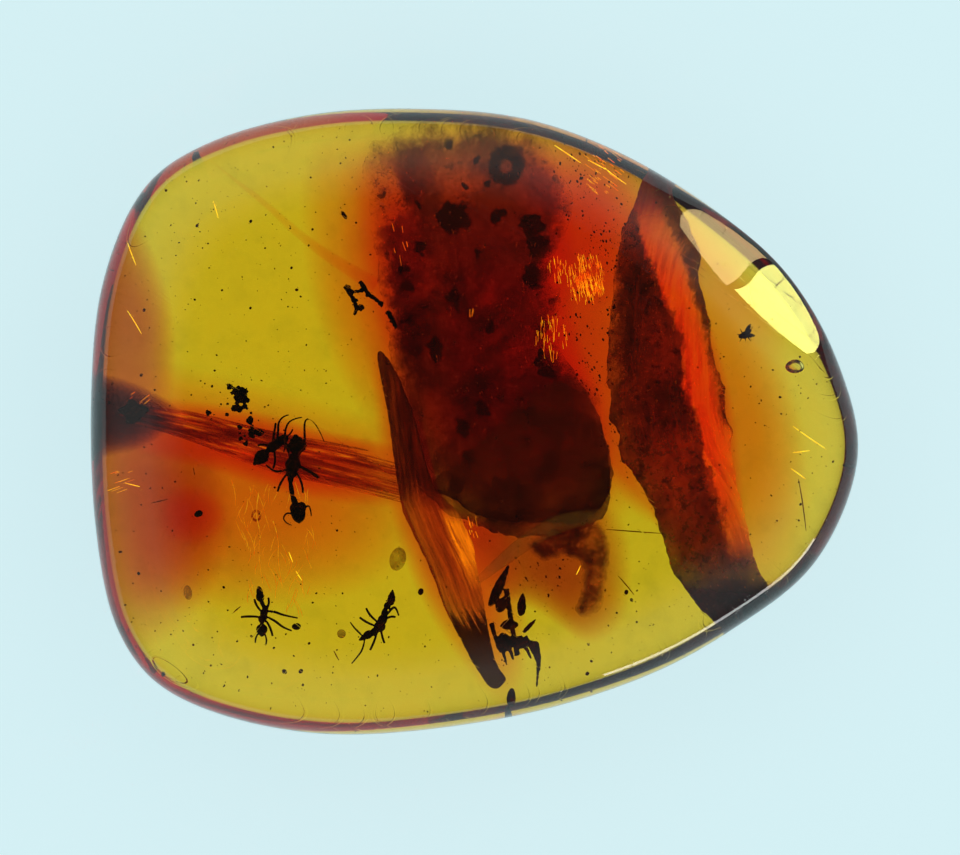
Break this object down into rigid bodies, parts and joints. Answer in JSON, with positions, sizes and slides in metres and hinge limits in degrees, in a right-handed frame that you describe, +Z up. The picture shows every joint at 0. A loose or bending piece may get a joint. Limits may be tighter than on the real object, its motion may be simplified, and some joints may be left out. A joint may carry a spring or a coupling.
{
  "type": "amber pebble with inclusions",
  "caption": "Polished clear yellow amber pebble with ants, red-brown bark, a root and plant scraps sealed inside it.",
  "frame": {"origin": "under the middle of the pebble, on the plane it lies on", "axes": "+X along the pebble's length towards its narrow end, +Y across it towards the bevelled side, +Z up out of its domed front"},
  "size_m": [0.0308, 0.025, 0.0081],
  "materials": {
    "amber": "polished clear greenish-yellow amber",
    "ant": "dark satin insect cuticle",
    "bark": "red-brown mottled bark",
    "wood": "dark red-brown fibrous wood",
    "root": "red striated root",
    "bud": "near-black dry plant scales",
    "char": "matt black crumbly debris",
    "scale": "thin brown plant scale"
  },
  "bodies": {
    "root": {"amber_front": "amber", "amber_back": "amber", "ant_large": "ant", "ant_curled": "ant", "ant_small_left": "ant", "ant_small_right": "ant", "gnat": "ant", "bark_slab": "bark", "bark_flake": "bark", "bark_strip": "bark", "husk_curl": "bark", "wood_blade": "wood", "root": "root", "bud_scales": "bud", "seed_upper": "bud", "seed_lower": "bud", "black_lump": "char", "charred_1": "char", "charred_2": "char", "charred_3": "char", "pellet": "char", "grain": "char", "crumb": "char", "frass_1": "char", "frass_2": "char", "frass_3": "char", "frass_4": "char", "frass_5": "char", "frass_6": "char", "frass_7": "char", "frass_8": "char", "scale_1": "scale", "scale_2": "scale", "scale_3": "scale"}
  },
  "joints": []
}
